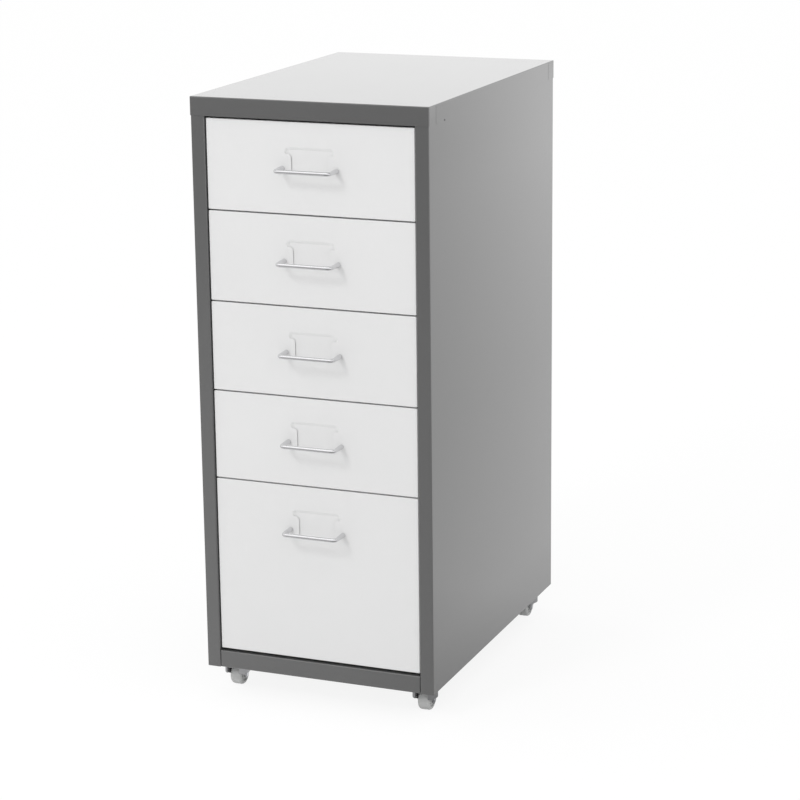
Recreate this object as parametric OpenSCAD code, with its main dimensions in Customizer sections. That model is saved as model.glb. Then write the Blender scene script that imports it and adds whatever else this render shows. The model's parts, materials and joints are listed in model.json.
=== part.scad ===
// Small metal drawer cabinet: a folded sheet steel body on four swivel casters, with four
// shallow drawers above one double-height drawer. Each drawer hangs by its lips in a pair of
// channel runners and carries a wire handle and a pressed label pocket.
// Millimetres, +Z up, the front faces -Y. The origin is on the floor, under the middle of the
// bounding box.

/* [Body] */
// Width over the lid
body_w = 280; // [268:1:340]
// Depth over the lid
body_d = 410; // [385:1:520]
// Thickness of the body's sheet
sheet_t = 0.6; // [0.5:0.1:0.8]
// Inside radius of every fold
fold_in = 0.4; // [0.2:0.1:0.8]
// Width of the front frame beside the drawers
frame_w = 16.5; // [14:0.5:22]
// Depth of the frame's return behind its inner edge
return_d = 12; // [8:1:16]
// Width of the side panels' back flanges
back_flange_w = 14; // [12:1:20]
// Depth of the back panel's hems
hem_d = 8; // [5:1:10]
// Side play of the panels and rails that are set in between others
panel_gap = 0.7; // [0.3:0.1:1.2]

/* [Lid] */
// Height of the lid's skirt
skirt_h = 21; // [18:1:32]
// Length of the front and back skirts' wraps round the sides
wrap_l = 20; // [14:1:30]
// Width of the slits beside the wraps
slit_w = 0.5; // [0.4:0.1:1]
// Distance from the lid's front to the locking notches
notch_y = 42; // [36:1:60]
// Length of the locking notches
notch_l = 5; // [3:1:8]
// Height of the locking notches
notch_h = 1.6; // [1:0.1:2.5]

/* [Base and rail] */
// Height of the front rail
rail_h = 20; // [17:1:30]
// Depth that the rail's face lies behind the frame
rail_recess = 0.6; // [0.2:0.1:1.5]
// Height of the rail's rear lip
rail_lip = 10; // [6:1:14]
// Height of the base panel's underside above the body's lower edge
base_lift = 3; // [2.5:0.1:5]
// Height of the base panel's upturned flanges
base_flange = 12; // [9:1:16]
// Radius of the holes in the base that clear the kingpins
kingpin_hole_r = 6; // [5.5:0.1:7]

/* [Drawer fronts] */
// Height of a shallow drawer's front
small_front_h = 100.6; // [90:0.2:140]
// Height of the bottom drawer's front
tall_front_h = 203; // [160:1:300]
// Gap between fronts
front_gap = 1.6; // [1.2:0.1:3]
// Gap between the top front and the lid's skirt
top_gap = 2.2; // [1.5:0.1:3]
// Gap between the bottom front and the rail
rail_gap = 3; // [2:0.1:4]
// Gap beside the fronts
side_gap = 1.2; // [0.8:0.1:1.6]
// Depth that the fronts lie behind the lid's front
front_recess = 3; // [2:0.1:4]
// Thickness of the drawers' sheet
drawer_t = 0.5; // [0.4:0.1:0.7]
// Depth of the fronts' folded edges
pan_d = 9; // [7:0.5:9.5]

/* [Label pocket] */
// Width of the pocket's pressed-in floor
pocket_w = 56; // [50:1:57]
// Height of the pocket
pocket_h = 28; // [24:1:32]
// Height of the pocket's top above the handle's axis
pocket_rise = 22; // [19:1:28]
// Depth of the pocket's floor behind the front's face
pocket_d = 1.4; // [1.2:0.1:3]
// Width of the lips that hold a card
pocket_lip_w = 6.5; // [5:0.5:8]
// Distance from the pocket's top down to the lips
pocket_lip_drop = 6; // [5:0.5:8]
// Radius of the pocket's and the lips' rounded corners
pocket_r = 4; // [2:0.5:5]

/* [Handle] */
// Distance between the handle's feet
handle_pitch = 64; // [62:1:110]
// Distance from a front's top edge down to the handle's axis
handle_drop = 51; // [48:1:60]
// Reach of the handle's bar, front face to bar axis
handle_reach = 22; // [18:1:35]
// Diameter of the bar
bar_d = 4.6; // [4.2:0.1:6]
// Diameter of the legs at their feet
foot_d = 5.8; // [5.5:0.1:7]
// Radius of the bends, at the rod's axis
bend_r = 5; // [4:0.5:8]

/* [Trays and runners] */
// Distance from a front's top edge down to the tray's rim
tray_drop = 14; // [13:0.5:18]
// Width of the lips on which a tray hangs
lip_w = 8; // [7:0.5:10]
// Clearance between the lips and the folds of the drawer fronts
lip_clear = 0.1; // [0.05:0.05:0.5]
// Distance from a tray's back to the back panel
tray_back_gap = 12; // [8:1:30]
// Clearance between a tray's bottom and its front's lower fold
tray_fit = 0.4; // [0.2:0.1:0.8]
// Travel of a drawer from shut to its stop
drawer_travel = 290; // [220:5:330]
// Play of a stop tab at full travel
stop_gap = 0.3; // [0.2:0.1:1]
// Height of the stop tabs on the lips
tab_h = 5; // [4:0.5:6]
// Thickness of the stop tabs
tab_t = 1.2; // [0.8:0.1:2]
// Clearance above and beside the stop tabs
tab_clear = 0.8; // [0.5:0.1:1.5]
// Thickness of the runners' sheet
runner_t = 0.6; // [0.5:0.1:1]
// Running gap under the lips
run_gap = 0.3; // [0.2:0.05:0.5]
// Clearance between the runners' shelves and the trays' sides
shelf_clear = 1; // [0.6:0.1:1.5]
// Distance from the frame's return back to the runners
runner_setback = 2; // [1:0.5:4]
// Distance from the back panel to the runners
runner_back_gap = 6; // [3:1:12]

/* [Screws and rivets] */
// Radius of the handle screws' shafts
handle_screw_r = 1.5; // [1.25:0.05:1.6]
// Radius of the handle screws' heads
handle_head_r = 2.9; // [2.6:0.1:2.9]
// Height of the handle screws' heads
handle_head_h = 2; // [1.5:0.1:2.5]
// Length of thread in a handle's foot
handle_thread_l = 7; // [5:0.5:9]
// Radius of the body screws' shafts
body_screw_r = 1.7; // [1.4:0.1:2]
// Radius of the body screws' heads
body_head_r = 3.4; // [3:0.1:4]
// Height of the body screws' heads
body_head_h = 1.8; // [1.4:0.1:2.4]
// Length of a body screw under its head
body_screw_l = 7; // [5:0.5:9]
// Radius of the rivets' shanks
rivet_r = 1.6; // [1.4:0.1:1.8]
// Radius of the rivets' heads
rivet_head_r = 2.6; // [2.3:0.1:2.7]
// Height of the rivets' heads
rivet_head_h = 0.6; // [0.4:0.1:0.7]
// Radial clearance of screws and rivets in their holes
hole_fit = 0.1; // [0.05:0.01:0.2]

/* [Casters] */
// Wheel diameter
wheel_d = 25; // [20:1:28]
// Wheel width over the tread
wheel_w = 14; // [12:0.5:16]
// Radius of the tread's rounded edges
tread_r = 3; // [1:0.1:4]
// Radius of the wheel's hub
hub_r = 4.5; // [4:0.1:5.5]
// Radius of the axle
axle_r = 1.6; // [1.4:0.1:2]
// Radius of the axle's heads
axle_head_r = 2.6; // [2.4:0.1:3.2]
// Height of the axle's heads
axle_head_h = 0.9; // [0.6:0.1:1.5]
// Radial running clearance of wheels and kingpins
running_fit = 0.06; // [0.03:0.01:0.1]
// Gap between the tread and the fork
wheel_gap = 1.5; // [0.8:0.1:2]
// Gap between the tread's sides and the fork's arms
arm_gap = 0.6; // [0.4:0.1:1]
// Thickness of the fork's arms
arm_t = 1.8; // [1.4:0.1:2.5]
// Radius of the arms' rounded ends
arm_end_r = 4.5; // [4:0.1:5.5]
// Radius of the fork's cap and crown
cap_r = 14.5; // [13.5:0.1:15]
// Height of the cap's lower edge above the axle
cap_drop = 5; // [3:0.5:6]
// Width of the cap's lower face outside the arms and their fillets
cap_land = 0.8; // [0.5:0.1:1]
// Largest radius of the fillets between the arms and the cap
arm_fillet_r = 4; // [2:0.5:5]
// Thickness of the crown over the wheel
crown_t = 3; // [2:0.1:4]
// Offset of the axle from the swivel axis
trail = 5; // [4:0.5:9]
// Radius of the kingpin
kingpin_r = 3; // [2.5:0.1:3.5]
// Radius of the kingpin's head
kingpin_head_r = 5; // [4.5:0.1:5.2]
// Height of the kingpin's head
kingpin_head_h = 1.5; // [1:0.1:2]
// Axial play of the swivel
swivel_play = 0.1; // [0.05:0.05:0.2]
// Radius of the raceway ring
race_r = 10; // [8:0.5:12]
// Height of the raceway between crown and plate
race_h = 3.5; // [2:0.1:5]
// Thickness of a caster's mounting plate
plate_t = 2; // [1.5:0.1:2.5]
// Width of a caster's mounting plate
plate_w = 34; // [34:0.5:36]
// Offset of the rivets from the swivel axis
rivet_offset = 13; // [13:0.5:14]
// Distance from the cabinet's sides to the swivel axes
caster_x_inset = 23; // [22:1:34]
// Distance from the cabinet's front and back to the swivel axes
caster_y_inset = 32; // [32:1:50]

/* [Hidden] */
$fn = 64;
eps = 0.01;
fine = 32;

small_n = 4;
drawer_n = small_n + 1;
CORNERS = ["front_left", "front_right", "back_left", "back_right"];
SIDES = ["left", "right"];
DRAWER_PIECES = ["front", "tray", "tray_ends", "handle", "handle_screws"];
CASTER_PIECES = ["plate", "fork", "axle", "wheel"];

fold_out = fold_in + sheet_t;

// Levels across the cabinet, on the +X side
lid_x = body_w / 2;
side_x = lid_x - sheet_t;
side_in = side_x - sheet_t;
frame_in = lid_x - frame_w;
front_w = 2 * (frame_in - side_gap);
lip_x = front_w / 2 - drawer_t - fold_in - lip_clear;
tray_x = lip_x - lip_w;
shelf_x = tray_x + shelf_clear;

// Levels from front to back: handles and screw heads stand out of the body
handle_out = handle_reach + bar_d / 2 - front_recess;
front_y = (handle_out - body_d - body_head_h) / 2;
back_y = front_y + body_d;
frame_y = front_y + sheet_t;
side_back_y = back_y - sheet_t;
back_panel_y = side_back_y - sheet_t;
back_in_y = back_panel_y - sheet_t;
face_y = front_y + front_recess;
tray_y = face_y + drawer_t;
tray_back_y = back_in_y - tray_back_gap;
rail_y = frame_y + rail_recess;
base_y = frame_y + return_d + panel_gap;
runner_y = frame_y + return_d + runner_setback;
runner_back_y = back_in_y - runner_back_gap;
stop_tab_y = runner_y + tab_t + stop_gap + drawer_travel;

// Heights from the floor
axle_z = wheel_d / 2;
cap_z = axle_z + cap_drop;
slot_z = wheel_d + wheel_gap;
crown_z = slot_z + crown_t;
plate_z = crown_z + race_h;
base_z = plate_z + plate_t;
body_z = base_z - base_lift;
tall_bottom_z = body_z + rail_h + rail_gap;
skirt_z = tall_bottom_z + tall_front_h + small_n * (front_gap + small_front_h) + top_gap;
top_z = skirt_z + skirt_h;
panel_top_z = top_z - sheet_t - fold_in;

runner_h = 2 * runner_t + run_gap + drawer_t + tab_h + tab_clear;

function front_h(i) = i < drawer_n ? small_front_h : tall_front_h;
function front_top(i) = skirt_z - top_gap - (i - 1) * (small_front_h + front_gap);
function front_bottom(i) = front_top(i) - front_h(i);
function handle_z(i) = front_top(i) - handle_drop;
function rim_z(i) = front_top(i) - tray_drop;
function floor_z(i) = front_bottom(i) + 2 * drawer_t + tray_fit;
function runner_z(i) = rim_z(i) - drawer_t - run_gap - runner_t;
function drawer_name(i, piece) = str("drawer_", i, "_", piece);
function runner_name(side, i) = str(side, "_runner_", i);
function caster_name(corner, piece) = str("caster_", corner, "_", piece);

// Places of the body screws: x and z, through the skirt, flange or hem at the back
screw_x = side_x - back_flange_w / 2;
side_screw_z = [for (part = [0.12, 0.4, 0.7]) body_z + part * (skirt_z - body_z)];
lid_screw_z = top_z - skirt_h / 2;
base_screw_z = base_z + sheet_t + base_flange / 2;
BODY_SCREWS = [
    for (x = [-screw_x, screw_x], z = side_screw_z) [x, side_back_y, z],
    for (x = [-screw_x, screw_x]) [x, back_y, lid_screw_z],
    for (x = [-screw_x / 2, screw_x / 2]) [x, back_panel_y, base_screw_z]
];
RIVETS = [for (x = [-1, 1], y = [-1, 1]) [x * rivet_offset, y * rivet_offset]];

// ---------------------------------------------------------------- shared shapes

// Quarter ring in the +X +Y quadrant, round the origin
module fold_arc(t) {
    intersection() {
        difference() {
            circle(fold_in + t);
            circle(fold_in);
        }
        square(fold_in + t);
    }
}

function fold_lead(turn, t) = turn == 0 ? 0 : turn > 0 ? fold_in + t : fold_in;

// Section of a folded strip: legs run from fold to fold, measured along the strip's left face,
// and each turn is 1 for a right-hand fold, -1 for a left-hand one and 0 at the strip's end
module folded_strip(legs, turns, t, i = 0) {
    lead_in = i == 0 ? 0 : fold_lead(turns[i - 1], t);
    lead_out = fold_lead(turns[i], t);
    translate([lead_in, -t]) square([legs[i] - lead_in - lead_out, t]);
    if (i < len(legs) - 1) {
        side = turns[i];
        translate([legs[i] - lead_out, -side * lead_out])
            mirror([0, side > 0 ? 0 : 1]) fold_arc(t);
        translate([legs[i], 0]) rotate(-90 * side) folded_strip(legs, turns, t, i + 1);
    }
}

// Extrusion of a section drawn in X and Z, from y0 to y1
module along_y(y0, y1) {
    translate([0, y1, 0]) rotate([90, 0, 0]) linear_extrude(y1 - y0) children();
}

// Extrusion of a section drawn in Y and Z, from x0 to x1
module along_x(x0, x1) {
    translate([x0, 0, 0]) rotate([90, 0, 90]) linear_extrude(x1 - x0) children();
}

// Rectangle round the origin with true arcs at its corners
module rounded_rect(w, h, r) {
    square([w - 2 * r, h], center = true);
    square([w, h - 2 * r], center = true);
    for (x = [-1, 1], y = [-1, 1])
        translate([x * (w / 2 - r), y * (h / 2 - r)]) circle(r);
}

// Rectangle hanging from the X axis, with its two upper corners rounded
module domed_rect(w, h, r) {
    translate([-w / 2, -h]) square([w, h - r]);
    translate([r - w / 2, -h]) square([w - 2 * r, h]);
    for (x = [-1, 1]) translate([x * (w / 2 - r), -r]) circle(r);
}

// Block whose top edges and upright edges are rounded, its top at z = 0
module pan_block(w, d, h, r) {
    intersection() {
        along_y(-d / 2, d / 2) domed_rect(w, h, r);
        along_x(-w / 2, w / 2) domed_rect(d, h, r);
        translate([0, 0, -h]) linear_extrude(h) rounded_rect(w, d, r);
    }
}

// Folded pan, open downwards, its outer face at z = 0
module pan(w, d, h, t) {
    difference() {
        pan_block(w, d, h, fold_in + t);
        translate([0, 0, -t]) pan_block(w - 2 * t, d - 2 * t, h, fold_in);
    }
}

// Hole or shaft along Y, from y0 to y1
module rod_y(x, z, r, y0, y1) {
    translate([x, y1, z]) rotate([90, 0, 0]) cylinder(h = y1 - y0, r = r);
}

// Hole or shaft along X, from x0 to x1
module rod_x(y, z, r, x0, x1) {
    translate([x0, y, z]) rotate([0, 90, 0]) cylinder(h = x1 - x0, r = r);
}

module screw_hole(place, depth) {
    rod_y(place[0], place[2], body_screw_r + hole_fit, place[1] - depth, place[1] + eps);
}

// ---------------------------------------------------------------- body

module top_lid() {
    color("dimgray") difference() {
        translate([0, front_y + body_d / 2, top_z]) pan(body_w, body_d, skirt_h, sheet_t);
        for (x = [-lid_x, side_x], y = [front_y + wrap_l, back_y - wrap_l - slit_w])
            translate([x - eps, y, skirt_z - eps])
                cube([sheet_t + 2 * eps, slit_w, skirt_h - fold_out]);
        for (x = [-lid_x, side_x])
            translate([x - eps, front_y + notch_y, skirt_z - eps])
                cube([sheet_t + 2 * eps, notch_l, notch_h]);
        for (place = BODY_SCREWS) screw_hole(place, sheet_t + eps);
    }
}

// The left panel: frame return, frame, side and back flange are one folded strip
module left_panel() {
    difference() {
        translate([-frame_in, frame_y + return_d, body_z]) rotate(-90)
            linear_extrude(panel_top_z - body_z)
                folded_strip(
                    [return_d, side_x - frame_in, side_back_y - frame_y, back_flange_w],
                    [1, 1, 1, 0], sheet_t);
        for (place = BODY_SCREWS) screw_hole(place, body_screw_l);
    }
}

module left_side_panel() {
    color("gray") left_panel();
}

module right_side_panel() {
    color("gray") mirror([1, 0, 0]) left_panel();
}

module back_panel() {
    color("gray") difference() {
        along_x(-side_in + panel_gap, side_in - panel_gap)
            translate([back_panel_y - hem_d, panel_top_z])
                folded_strip([hem_d, panel_top_z - body_z, hem_d], [1, 1, 0], sheet_t);
        for (place = BODY_SCREWS) screw_hole(place, body_screw_l);
    }
}

module base_panel() {
    base_d = back_in_y - base_y;
    color("gray") difference() {
        translate([0, base_y + base_d / 2, base_z]) mirror([0, 0, 1])
            pan(2 * side_in, base_d, base_flange, sheet_t);
        for (corner = CORNERS) at_caster(corner) {
            translate([0, 0, base_z - eps]) cylinder(h = sheet_t + 2 * eps, r = kingpin_hole_r);
            for (place = RIVETS) translate([place[0], place[1], base_z - eps])
                cylinder(h = sheet_t + 2 * eps, r = rivet_r + hole_fit);
        }
        for (place = BODY_SCREWS) screw_hole(place, body_screw_l);
    }
}

module front_rail() {
    rail_d = base_y - rail_y;
    color("gray") along_x(-frame_in + panel_gap, frame_in - panel_gap)
        translate([base_y, body_z + rail_lip]) rotate(-90)
            folded_strip([rail_lip, rail_d, rail_h, rail_d, rail_lip / 2], [1, 1, 1, 1, 0],
                sheet_t);
}

module body_screws() {
    color("silver") for (place = BODY_SCREWS) {
        rod_y(place[0], place[2], body_screw_r, place[1] - body_screw_l, place[1] + eps);
        rod_y(place[0], place[2], body_head_r, place[1], place[1] + body_head_h);
    }
}

// ---------------------------------------------------------------- runners

// Left channel with its stop tab, which hangs from the front end of the upper shelf
module left_runner(i) {
    shelf_w = side_in - shelf_x;
    tab_x = tray_x + lip_w / 2;
    z0 = runner_z(i);
    color("lightgray") {
        along_y(runner_y, runner_back_y)
            translate([-shelf_x, z0]) rotate(180)
                folded_strip([shelf_w, runner_h, shelf_w], [1, 1, 0], runner_t);
        translate([-lip_x - tab_clear, runner_y, rim_z(i) + tab_clear])
            cube([lip_x + tab_clear - tab_x, tab_t, tab_h]);
    }
}

module runner(side, i) {
    if (side == "left") left_runner(i);
    else mirror([1, 0, 0]) left_runner(i);
}

// ---------------------------------------------------------------- drawers

// Outline of the card slot, round the middle of the pocket's floor
module card_slot() {
    lip_h = pocket_h - pocket_lip_drop;
    difference() {
        rounded_rect(pocket_w, pocket_h, pocket_r);
        for (x = [-1, 1]) translate([x * pocket_w / 2, lip_h / 2 - pocket_h / 2]) {
            translate([0, -pocket_r]) square([2 * pocket_lip_w, lip_h], center = true);
            rounded_rect(2 * pocket_lip_w, lip_h, pocket_r);
        }
    }
}

module drawer_front(i) {
    z_mid = (front_top(i) + front_bottom(i)) / 2;
    pocket_z = handle_z(i) + pocket_rise - pocket_h / 2;
    back_w = pocket_w + 2 * drawer_t;
    back_h = pocket_h + 2 * drawer_t;
    color("white") {
        difference() {
            translate([0, face_y, z_mid]) rotate([90, 0, 0])
                pan(front_w, front_h(i), pan_d, drawer_t);
            along_y(face_y - eps, face_y + drawer_t + eps)
                translate([0, pocket_z]) card_slot();
            for (x = [-1, 1])
                rod_y(x * handle_pitch / 2, handle_z(i), handle_screw_r + hole_fit,
                    face_y - eps, face_y + drawer_t + eps);
        }
        difference() {
            along_y(face_y + drawer_t, face_y + pocket_d + drawer_t)
                translate([0, pocket_z]) rounded_rect(back_w, back_h, pocket_r + drawer_t);
            along_y(face_y, face_y + pocket_d)
                translate([0, pocket_z]) rounded_rect(pocket_w, pocket_h, pocket_r);
        }
    }
}

// Floor, sides and lips in one folded sheet, with the stop tabs on the lips
module drawer_tray(i) {
    inner_x = tray_x - drawer_t;
    color("whitesmoke") {
        along_y(tray_y, tray_back_y)
            translate([-lip_x, rim_z(i)])
                folded_strip(
                    [lip_w + drawer_t, rim_z(i) - floor_z(i), 2 * inner_x,
                     rim_z(i) - floor_z(i), lip_w + drawer_t],
                    [1, -1, -1, 1, 0], drawer_t);
        for (x = [-lip_x, tray_x + lip_w / 2])
            translate([x, stop_tab_y, rim_z(i) - drawer_t / 2])
                cube([lip_w / 2, tab_t, tab_h + drawer_t / 2]);
    }
}

// Front wall, with a window for the pocket, and back wall, welded in between the tray's sides
module drawer_tray_ends(i) {
    window_w = pocket_w + 2 * (drawer_t + hole_fit);
    window_z = handle_z(i) + pocket_rise - pocket_h - drawer_t - hole_fit;
    color("whitesmoke") {
        difference() {
            along_y(tray_y, tray_y + drawer_t) tray_wall(i);
            along_y(tray_y - eps, tray_y + drawer_t + eps)
                translate([-window_w / 2, window_z]) square([window_w, small_front_h]);
            for (x = [-1, 1])
                rod_y(x * handle_pitch / 2, handle_z(i), handle_screw_r + hole_fit,
                    tray_y - eps, tray_y + drawer_t + eps);
        }
        along_y(tray_back_y - drawer_t, tray_back_y) tray_wall(i);
    }
}

// Outline of a tray's end wall, its corners clear of the tray's folds
module tray_wall(i) {
    wall_h = rim_z(i) - fold_in - drawer_t - floor_z(i);
    translate([0, floor_z(i) + wall_h / 2])
        rounded_rect(2 * (tray_x - drawer_t), wall_h, fold_in + hole_fit);
}

module drawer_handle(i) {
    leg_l = handle_reach - bend_r;
    half_bar = handle_pitch / 2 - bend_r;
    color("silver") translate([0, face_y, handle_z(i)]) {
        for (x = [-1, 1]) {
            difference() {
                translate([x * handle_pitch / 2, 0, 0]) rotate([90, 0, 0])
                    cylinder(h = leg_l, d1 = foot_d, d2 = bar_d);
                rod_y(x * handle_pitch / 2, 0, handle_screw_r + hole_fit / 2,
                    -handle_thread_l - hole_fit, eps);
            }
            translate([x * half_bar, -leg_l, 0]) mirror([x > 0 ? 0 : 1, 0, 0]) rotate(-90)
                rotate_extrude(angle = 90) translate([bend_r, 0]) circle(d = bar_d);
        }
        rod_x(-handle_reach, 0, bar_d / 2, -half_bar, half_bar);
    }
}

module drawer_handle_screws(i) {
    head_y = tray_y + drawer_t;
    color("silver") for (x = [-1, 1]) {
        rod_y(x * handle_pitch / 2, handle_z(i), handle_screw_r, face_y - handle_thread_l,
            head_y + eps);
        rod_y(x * handle_pitch / 2, handle_z(i), handle_head_r, head_y, head_y + handle_head_h);
    }
}

module drawer(i, piece) {
    if (piece == "front") drawer_front(i);
    if (piece == "tray") drawer_tray(i);
    if (piece == "tray_ends") drawer_tray_ends(i);
    if (piece == "handle") drawer_handle(i);
    if (piece == "handle_screws") drawer_handle_screws(i);
}

// ---------------------------------------------------------------- casters

// Moves its children from the origin to a caster's swivel axis. The front casters are turned
// half round, so that the wheels at both ends trail inwards.
module at_caster(corner) {
    x = lid_x - caster_x_inset;
    is_left = corner == "front_left" || corner == "back_left";
    is_front = corner == "front_left" || corner == "front_right";
    translate([is_left ? -x : x, is_front ? front_y + caster_y_inset : back_y - caster_y_inset, 0])
        rotate(is_front ? 180 : 0) children();
}

module caster_plate() {
    color("silver") difference() {
        translate([0, 0, plate_z]) linear_extrude(plate_t)
            rounded_rect(plate_w, plate_w, plate_w / 2 - rivet_offset);
        translate([0, 0, plate_z - eps])
            cylinder(h = plate_t + 2 * eps, r = kingpin_r + running_fit);
        for (place = RIVETS) translate([place[0], place[1], plate_z - eps])
            cylinder(h = plate_t + 2 * eps, r = rivet_r + hole_fit);
    }
}

module caster_rivets() {
    color("silver") for (corner = CORNERS) at_caster(corner)
        for (place = RIVETS) translate([place[0], place[1], 0]) {
            translate([0, 0, plate_z - rivet_head_h]) cylinder(h = rivet_head_h, r = rivet_head_r);
            translate([0, 0, plate_z - eps]) cylinder(h = plate_t + sheet_t + 2 * eps, r = rivet_r);
            translate([0, 0, base_z + sheet_t]) cylinder(h = rivet_head_h, r = rivet_head_r);
        }
}

// Crown with a cap that is open before and behind the wheel, arms, raceway ring and kingpin,
// with the wheel trailing towards -Y
module caster_fork() {
    slot_x = wheel_w / 2 + arm_gap;
    arm_x = slot_x + arm_t;
    web_r = min(arm_fillet_r, cap_drop - cap_land, cap_r - cap_land - arm_x);
    arm_top_y = sqrt(cap_r * cap_r - arm_x * arm_x) - cap_land;
    color("dimgray") difference() {
        union() {
            translate([0, 0, cap_z]) cylinder(h = crown_z - cap_z, r = cap_r);
            translate([0, 0, crown_z - eps])
                cylinder(h = race_h - swivel_play + eps, r = race_r);
            translate([0, 0, crown_z - eps])
                cylinder(h = race_h + plate_t + swivel_play + 2 * eps, r = kingpin_r);
            translate([0, 0, base_z + swivel_play]) cylinder(h = kingpin_head_h, r = kingpin_head_r);
            for (side = [-1, 1]) along_x(side > 0 ? slot_x : -arm_x, side > 0 ? arm_x : -slot_x) {
                translate([-trail, axle_z]) circle(arm_end_r);
                polygon([
                    [-trail - arm_end_r, axle_z], [-trail + arm_end_r, axle_z],
                    [arm_top_y, cap_z + eps], [-arm_top_y, cap_z + eps]
                ]);
            }
            for (side = [-1, 1]) intersection() {
                difference() {
                    translate([side > 0 ? slot_x : -arm_x - web_r, -arm_top_y, cap_z - web_r])
                        cube([arm_t + web_r, 2 * arm_top_y, web_r + eps]);
                    rod_y(side * (arm_x + web_r), cap_z - web_r, web_r, -cap_r, cap_r);
                }
                translate([0, 0, cap_z - web_r]) cylinder(h = web_r + 2 * eps, r = cap_r);
                along_x(-cap_r, cap_r) polygon([
                    [-trail - arm_end_r, axle_z], [-trail + arm_end_r, axle_z],
                    [arm_top_y, cap_z + 2 * eps], [-arm_top_y, cap_z + 2 * eps]
                ]);
            }
        }
        translate([-slot_x, -cap_r - eps, axle_z - arm_end_r - eps])
            cube([2 * slot_x, 2 * (cap_r + eps), slot_z - axle_z + arm_end_r + eps]);
        rod_x(-trail, axle_z, axle_r + running_fit / 3, -cap_r, cap_r);
        for (x = [-arm_x - web_r, arm_x])
            rod_x(-trail, axle_z, axle_head_r + hole_fit, x, x + web_r);
    }
}

module caster_axle() {
    head_x = wheel_w / 2 + arm_gap + arm_t;
    color("silver") {
        rod_x(-trail, axle_z, axle_r, -head_x - eps, head_x + eps);
        for (x = [-head_x - axle_head_h, head_x])
            rod_x(-trail, axle_z, axle_head_r, x, x + axle_head_h);
    }
}

module caster_wheel() {
    hub_w = wheel_w + 2 * arm_gap - 2 * swivel_play;
    dish_r0 = hub_r + 1;
    dish_r1 = wheel_d / 2 - tread_r - 1;
    dish_d = 1.5;
    color("gainsboro") translate([0, -trail, axle_z]) rotate([0, 90, 0]) rotate_extrude()
        difference() {
            union() {
                intersection() {
                    rounded_rect(wheel_d, wheel_w, tread_r);
                    translate([0, -wheel_w / 2]) square([wheel_d / 2, wheel_w]);
                }
                translate([0, -hub_w / 2]) square([hub_r, hub_w]);
            }
            translate([-1, -wheel_w]) square([1 + axle_r + running_fit, 2 * wheel_w]);
            for (y = [-wheel_w / 2 - eps, wheel_w / 2 - dish_d])
                translate([dish_r0, y]) square([dish_r1 - dish_r0, dish_d + eps]);
        }
}

module caster(corner, piece) {
    at_caster(corner) {
        if (piece == "plate") caster_plate();
        if (piece == "fork") caster_fork();
        if (piece == "axle") caster_axle();
        if (piece == "wheel") caster_wheel();
    }
}

// ---------------------------------------------------------------- nodes

top_lid();
left_side_panel();
right_side_panel();
back_panel();
base_panel();
front_rail();
body_screws();
caster_rivets();
for (side = SIDES, i = [1 : drawer_n])
    runner(side, i);
for (i = [1 : drawer_n], piece = DRAWER_PIECES)
    drawer(i, piece);
for (corner = CORNERS, piece = CASTER_PIECES)
    caster(corner, piece);
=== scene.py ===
import json
from math import cos, pi, radians, sin

import bmesh
import bpy
from mathutils import Matrix, Vector


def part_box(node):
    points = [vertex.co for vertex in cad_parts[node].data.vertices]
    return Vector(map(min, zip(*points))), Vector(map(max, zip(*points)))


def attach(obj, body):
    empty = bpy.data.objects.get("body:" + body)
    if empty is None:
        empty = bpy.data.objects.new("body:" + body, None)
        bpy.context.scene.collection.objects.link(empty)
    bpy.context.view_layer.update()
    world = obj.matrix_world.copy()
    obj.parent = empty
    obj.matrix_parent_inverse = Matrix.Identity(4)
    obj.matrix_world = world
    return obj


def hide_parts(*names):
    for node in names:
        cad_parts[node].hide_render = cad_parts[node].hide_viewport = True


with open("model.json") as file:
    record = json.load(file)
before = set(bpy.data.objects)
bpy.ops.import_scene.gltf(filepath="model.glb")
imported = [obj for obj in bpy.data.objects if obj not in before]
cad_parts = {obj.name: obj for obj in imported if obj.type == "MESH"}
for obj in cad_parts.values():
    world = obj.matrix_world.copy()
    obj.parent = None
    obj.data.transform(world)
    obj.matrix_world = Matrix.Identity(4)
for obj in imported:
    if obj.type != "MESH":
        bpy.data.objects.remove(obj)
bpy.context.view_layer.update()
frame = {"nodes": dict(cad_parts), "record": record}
MM = 0.001
DRAWERS = range(1, 6)
CORNERS = ["front_left", "front_right", "back_left", "back_right"]

# ---------------------------------------------------------------- sizes read from the frame

LID_LO, LID_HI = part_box("top_lid")
SIDE_LO, SIDE_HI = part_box("right_side_panel")
RAIL_LO, RAIL_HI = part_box("front_rail")
SHEET = LID_HI.x - SIDE_HI.x
FOLD_IN = LID_HI.z - SHEET - SIDE_HI.z
FRAME_IN = SIDE_LO.x

# Sizes that a box can't tell
RETURN_D = 12 * MM
BACK_FLANGE_W = 14 * MM
RAIL_LIP = 10 * MM
RAIL_TAIL = 5 * MM
WRAP_L = 20 * MM
SLIT_W = 0.5 * MM
NOTCH_Y = 42 * MM
NOTCH_L = 5 * MM
NOTCH_H = 1.6 * MM
DRAWER_SHEET = 0.5 * MM
POCKET_W = 56 * MM
POCKET_H = 28 * MM
POCKET_D = 1.4 * MM
POCKET_RISE = 22 * MM
POCKET_R = 4 * MM
POCKET_LIP_W = 6.5 * MM
POCKET_LIP_DROP = 6 * MM
PAN_CORNER_EXTRA = 0.2 * MM

# ---------------------------------------------------------------- camera

IMAGE = 800
FOCAL_PX = 2538.6
SENSOR = 36.0
CAM_PLACE = Vector((1.1049, -2.6630, 1.0697))
CAM_YAW = radians(22.09)
CAM_PITCH = radians(14.73)
CAM_ROLL = radians(-0.67)
CLIP_NEAR, CLIP_FAR = 0.05, 100.0


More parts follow.
